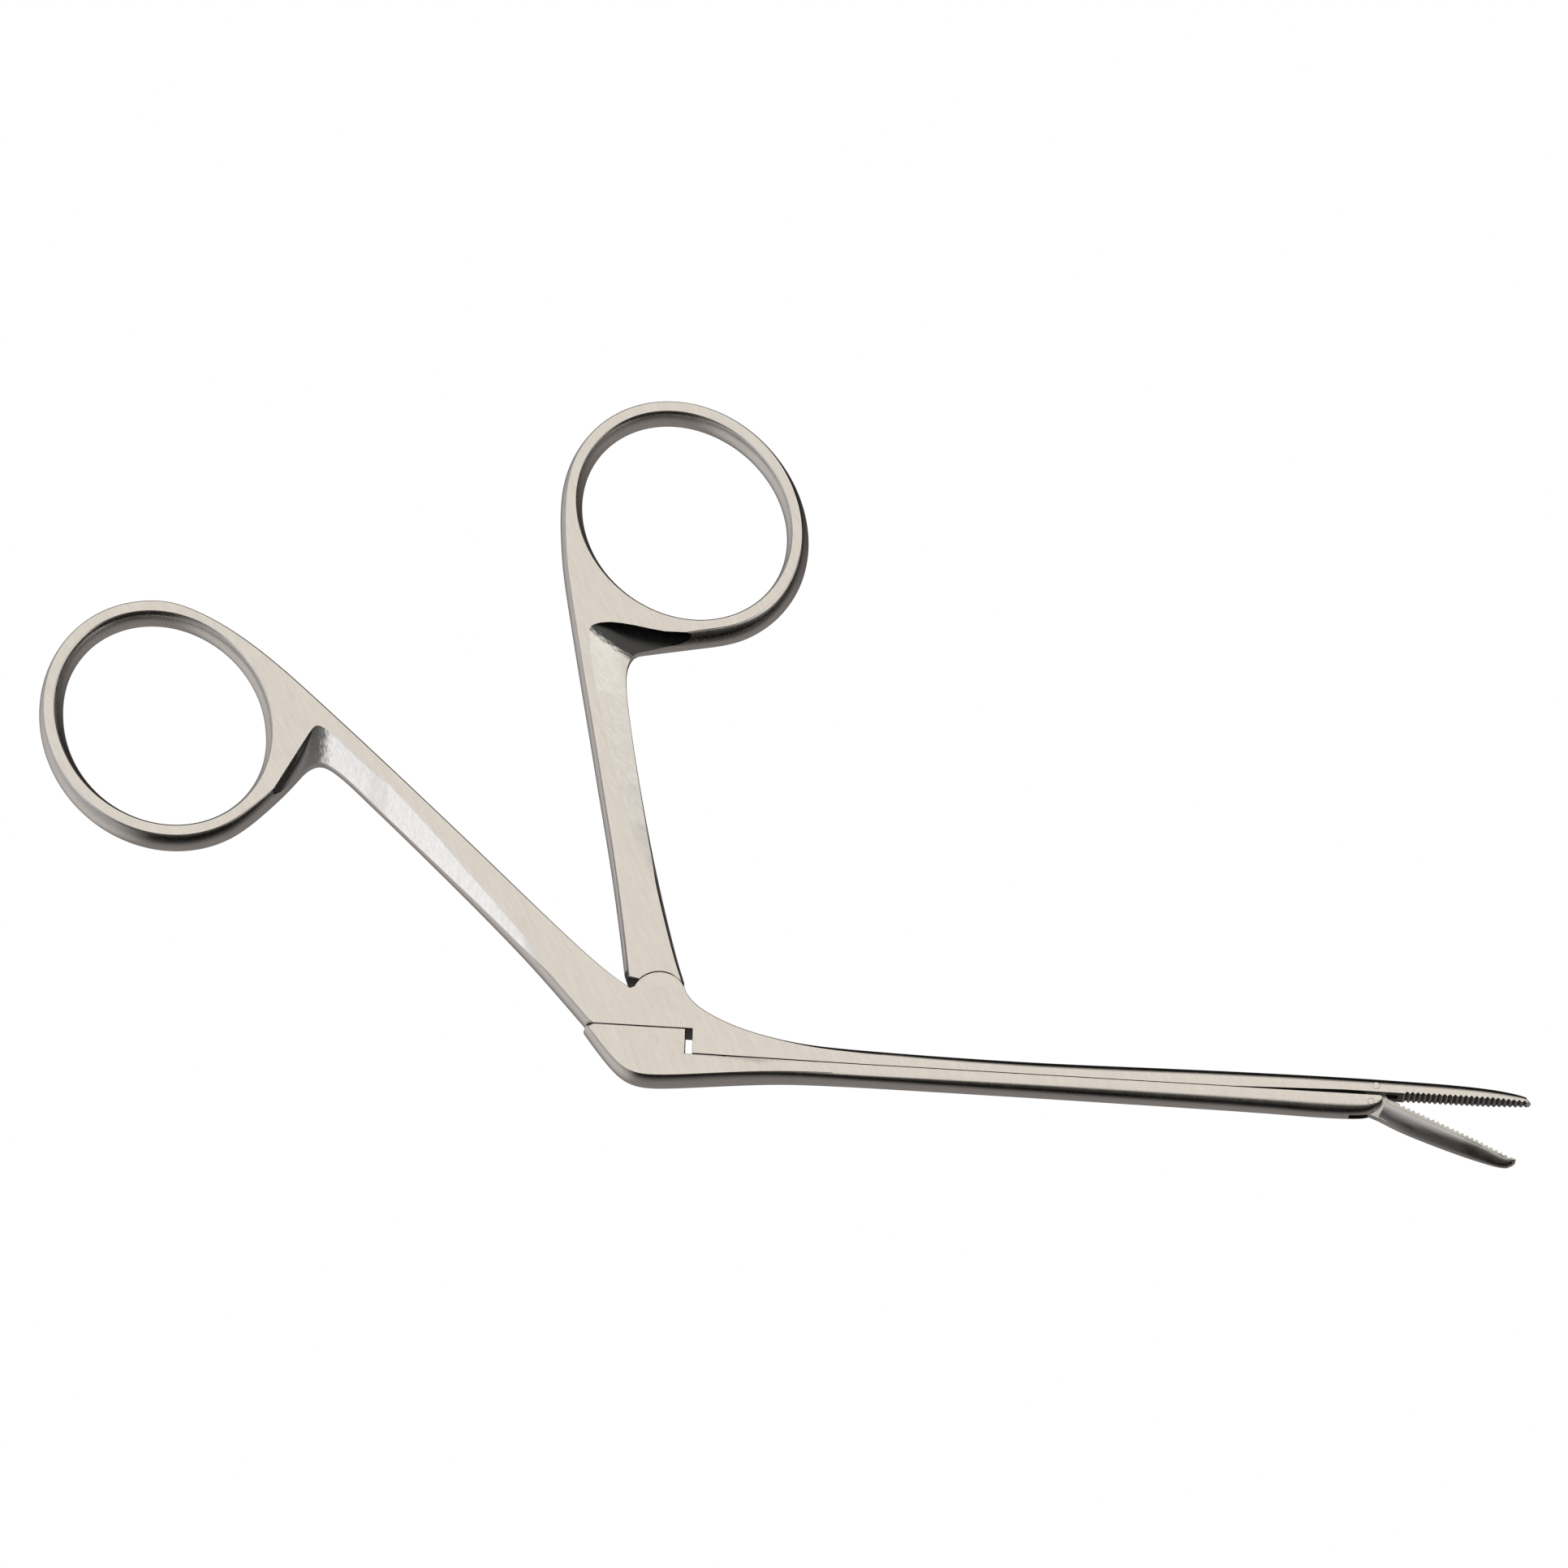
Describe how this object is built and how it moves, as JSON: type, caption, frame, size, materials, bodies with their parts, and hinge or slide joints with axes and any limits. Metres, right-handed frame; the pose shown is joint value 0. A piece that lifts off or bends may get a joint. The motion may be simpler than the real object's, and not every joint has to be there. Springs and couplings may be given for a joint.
{
  "type": "alligator forceps",
  "caption": "Flat ring-handled alligator forceps: the front ring slides a rod along the shaft and closes the hinged, serrated lower jaw.",
  "frame": {"origin": "centre of the bounding box in X and Y, at the underside", "axes": "+X along the shaft towards the jaw tips, +Y from the shaft towards the front finger ring, +Z out of the upper flat face"},
  "size_m": [0.1484, 0.0746, 0.0037],
  "materials": {
    "steel": "satin, finely ground",
    "pin_steel": "satin, ground flush"
  },
  "bodies": {
    "frame": {"main_frame": "steel", "handle_pivot_pin": "pin_steel", "jaw_pivot_pin": "pin_steel"},
    "handle": {"front_handle": "steel"},
    "rod": {"slide_rod": "steel", "drive_pin": "pin_steel", "jaw_link_pin": "pin_steel"},
    "jaw": {"lower_jaw": "steel"}
  },
  "joints": [
    {"name": "handle_pivot", "type": "hinge", "parent": "frame", "child": "handle", "pos_m": [-0.01104, -0.02575, 0.00185], "axis": [0, 0, 1], "range_deg": [0, 8.8]},
    {"name": "rod_slide", "type": "slide", "parent": "frame", "child": "rod", "axis": [1, 0, 0], "range_m": [0, 0.000663]},
    {"name": "jaw_pivot", "type": "hinge", "parent": "frame", "child": "jaw", "pos_m": [0.05906, -0.03025, 0.00185], "axis": [0, 0, 1], "range_deg": [0, 22.51]}
  ],
  "couplings": [
    {"joint": "rod_slide", "follows": "handle_pivot", "m_per_rad": 0.004308},
    {"joint": "jaw_pivot", "follows": "handle_pivot", "ratio": 2.557}
  ]
}
